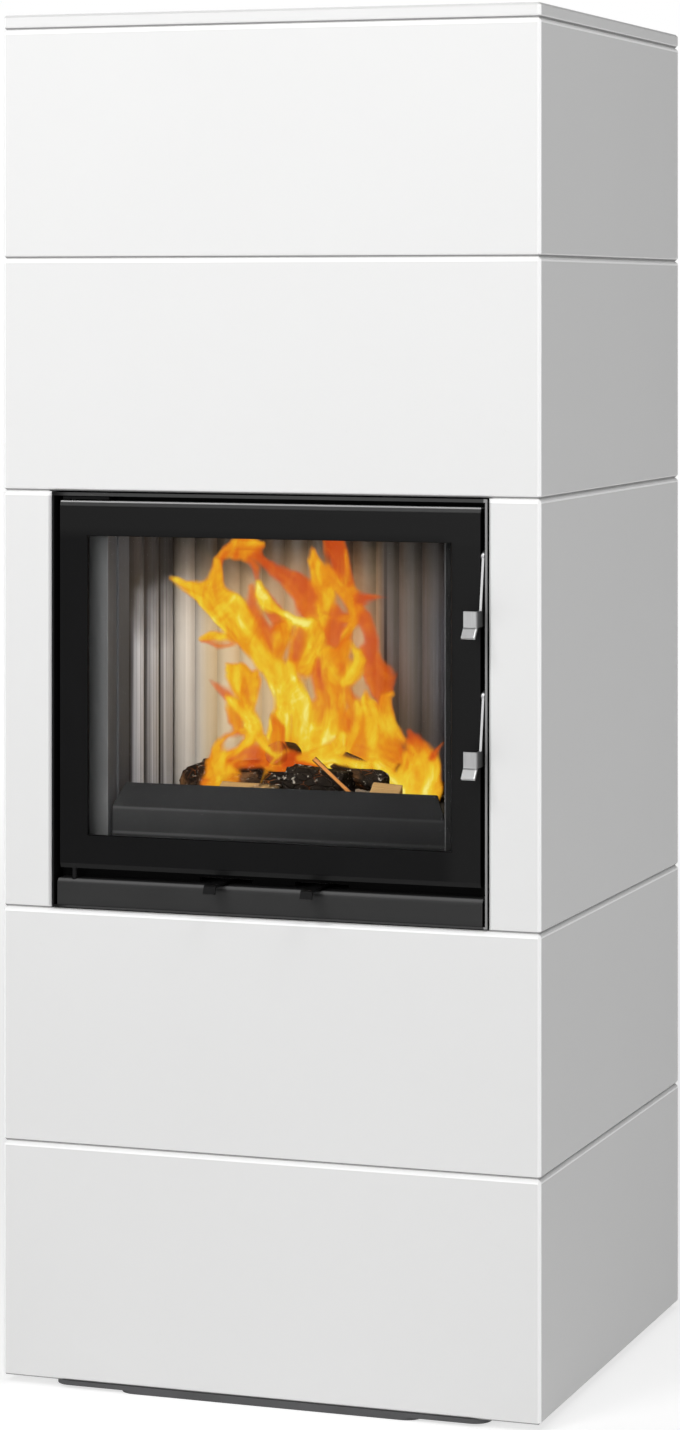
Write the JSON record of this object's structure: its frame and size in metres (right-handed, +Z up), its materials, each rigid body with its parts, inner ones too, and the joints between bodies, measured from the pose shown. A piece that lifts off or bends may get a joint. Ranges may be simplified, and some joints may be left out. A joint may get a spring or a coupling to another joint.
{
  "type": "heat-storing stove",
  "caption": "Tall stove of stacked white cast rings with a black steel fire insert, glass door, latch levers and sliding air levers.",
  "frame": {"origin": "middle of the casing's footprint, on the floor", "axes": "+Z up, -Y the front with the door, +X to the right seen from the front"},
  "size_m": [0.68, 0.6572, 1.657],
  "materials": {
    "cast_casing": "smooth white filled and painted casting",
    "bedding": "pale grey adhesive",
    "dark_steel": "dark grey satin",
    "black_sheet": "black heat-proof satin",
    "black_door": "black heat-proof satin",
    "bare_steel": "turned",
    "stainless": "brushed",
    "raw_steel": "dark mill finish",
    "galvanised": "dull",
    "fibre_seal": "grey woven fibre",
    "clear_glass": "clear heat-proof",
    "lining": "ribbed fired lining",
    "side_plate": "smooth grey",
    "hearth": "fired clay",
    "storage": "dense cast storage block"
  },
  "bodies": {
    "casing": {"floor_plate": "dark_steel", "carrier_plate": "dark_steel", "bottom_ring": "cast_casing", "lower_ring": "cast_casing", "door_ring": "cast_casing", "upper_ring": "cast_casing", "top_ring": "cast_casing", "top_plate": "cast_casing", "bedding_joints": "bedding", "insert_frame": "black_sheet", "front_flange": "raw_steel", "sill_panel": "black_sheet", "hinge_plate_upper": "black_sheet", "hinge_plate_lower": "black_sheet", "hinge_pins": "bare_steel", "catch_pins": "bare_steel", "firebox_shell": "raw_steel", "lining_back": "lining", "lining_left": "lining", "lining_right": "lining", "side_plate_left": "side_plate", "side_plate_right": "side_plate", "hearth_slab": "hearth", "log_guard": "black_sheet", "baffle_plate": "lining", "smoke_hood": "raw_steel", "storage_ring_lower": "storage", "storage_ring_upper": "storage", "flue_elbow": "raw_steel", "flue_collar": "dark_steel", "air_duct": "galvanised", "air_collar": "dark_steel", "air_box": "raw_steel", "stand_frame": "dark_steel", "stand_feet": "bare_steel"},
    "door": {"door_frame": "black_door", "door_seal": "fibre_seal", "door_glass": "clear_glass", "glass_gasket": "fibre_seal", "glass_clips": "bare_steel", "glass_screws": "bare_steel", "latch_pivots": "stainless"},
    "latch_upper": {"latch_lever_upper": "stainless"},
    "latch_lower": {"latch_lever_lower": "stainless"},
    "air_left": {"air_lever_left": "black_sheet", "air_slide_left": "raw_steel"},
    "air_right": {"air_lever_right": "black_sheet", "air_slide_right": "raw_steel"}
  },
  "joints": [
    {"name": "door_hinge", "type": "hinge", "parent": "casing", "child": "door", "pos_m": [-0.249, -0.303, 0.8485], "axis": [0, 0, -1], "range_deg": [0, 105]},
    {"name": "latch_upper_turn", "type": "hinge", "parent": "door", "child": "latch_upper", "pos_m": [0.2695, -0.302, 1.013], "axis": [-1, 0, 0], "range_deg": [0, 22]},
    {"name": "latch_lower_turn", "type": "hinge", "parent": "door", "child": "latch_lower", "pos_m": [0.2695, -0.302, 0.85], "axis": [-1, 0, 0], "range_deg": [0, 22]},
    {"name": "air_left_slide", "type": "slide", "parent": "casing", "child": "air_left", "axis": [1, 0, 0], "range_m": [-0.025, 0.025]},
    {"name": "air_right_slide", "type": "slide", "parent": "casing", "child": "air_right", "axis": [1, 0, 0], "range_m": [-0.025, 0.025]}
  ]
}
